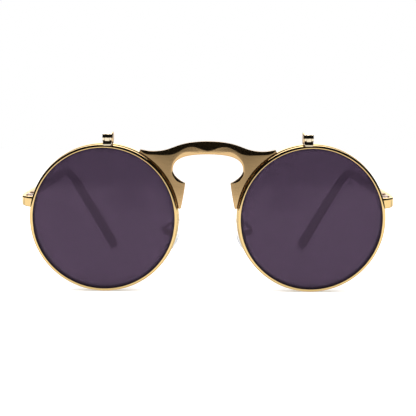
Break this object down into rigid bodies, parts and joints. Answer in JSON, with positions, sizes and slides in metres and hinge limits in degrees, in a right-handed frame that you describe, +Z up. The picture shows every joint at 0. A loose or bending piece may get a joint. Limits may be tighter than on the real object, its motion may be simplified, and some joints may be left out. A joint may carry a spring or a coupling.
{
  "type": "flip up sunglasses",
  "caption": "Round gold metal sunglasses: clear rear lenses, dark lenses that flip up on top hinges, an arched plate bridge, folding temples with dark tips and rocking nose pads.",
  "frame": {"origin": "centre of the footprint, on the table that the glasses stand on with rims and temple tips", "axes": "+Z up from the table, +X to the right as seen from the front, +Y back along the temples"},
  "size_m": [0.14, 0.1313, 0.0594],
  "materials": {
    "gold_metal": "polished",
    "gold_screw": "polished",
    "dark_lens": "polished",
    "clear_lens": "polished",
    "dark_plastic": "gloss",
    "clear_pad": "gloss"
  },
  "bodies": {
    "front": {"bridge": "gold_metal", "left_rim": "gold_metal", "right_rim": "gold_metal", "left_lens": "clear_lens", "right_lens": "clear_lens", "left_end_piece": "gold_metal", "right_end_piece": "gold_metal", "left_rim_lock": "gold_metal", "right_rim_lock": "gold_metal", "left_lock_screw": "gold_screw", "right_lock_screw": "gold_screw", "left_hinge_block": "gold_metal", "right_hinge_block": "gold_metal", "left_hinge_screw": "gold_screw", "right_hinge_screw": "gold_screw", "left_flip_bracket": "gold_metal", "right_flip_bracket": "gold_metal", "left_flip_screw": "gold_screw", "right_flip_screw": "gold_screw", "left_pad_wire": "gold_metal", "right_pad_wire": "gold_metal", "left_pad_box": "gold_metal", "right_pad_box": "gold_metal", "left_pad_screw": "gold_screw", "right_pad_screw": "gold_screw"},
    "left_temple": {"left_temple_hinge": "gold_metal", "left_temple_arm": "gold_metal", "left_temple_tip": "dark_plastic"},
    "right_temple": {"right_temple_hinge": "gold_metal", "right_temple_arm": "gold_metal", "right_temple_tip": "dark_plastic"},
    "left_flip": {"left_flip_arm": "gold_metal", "left_flip_rim": "gold_metal", "left_flip_lens": "dark_lens"},
    "right_flip": {"right_flip_arm": "gold_metal", "right_flip_rim": "gold_metal", "right_flip_lens": "dark_lens"},
    "left_pad": {"left_nose_pad": "clear_pad"},
    "right_pad": {"right_nose_pad": "clear_pad"}
  },
  "joints": [
    {"name": "right_flip_hinge", "type": "hinge", "parent": "front", "child": "right_flip", "pos_m": [0.0368, -0.06342, 0.05727], "axis": [-1, 0, 0], "range_deg": [0, 110]},
    {"name": "right_temple_fold", "type": "hinge", "parent": "front", "child": "right_temple", "pos_m": [0.0664, -0.05376, 0.0347], "axis": [0, -0.0594, 0.9982], "range_deg": [0, 83]},
    {"name": "right_pad_rock", "type": "hinge", "parent": "front", "child": "right_pad", "pos_m": [0.01474, -0.0518, 0.02127], "axis": [0.4695, 0.8814, 0.0524], "range_deg": [-10, 10]},
    {"name": "left_flip_hinge", "type": "hinge", "parent": "front", "child": "left_flip", "pos_m": [-0.0368, -0.06342, 0.05727], "axis": [-1, 0, 0], "range_deg": [0, 110]},
    {"name": "left_temple_fold", "type": "hinge", "parent": "front", "child": "left_temple", "pos_m": [-0.0664, -0.05376, 0.0347], "axis": [0, 0.0594, -0.9982], "range_deg": [0, 74]},
    {"name": "left_pad_rock", "type": "hinge", "parent": "front", "child": "left_pad", "pos_m": [-0.01474, -0.0518, 0.02127], "axis": [-0.4695, 0.8814, 0.0524], "range_deg": [-10, 10]}
  ]
}
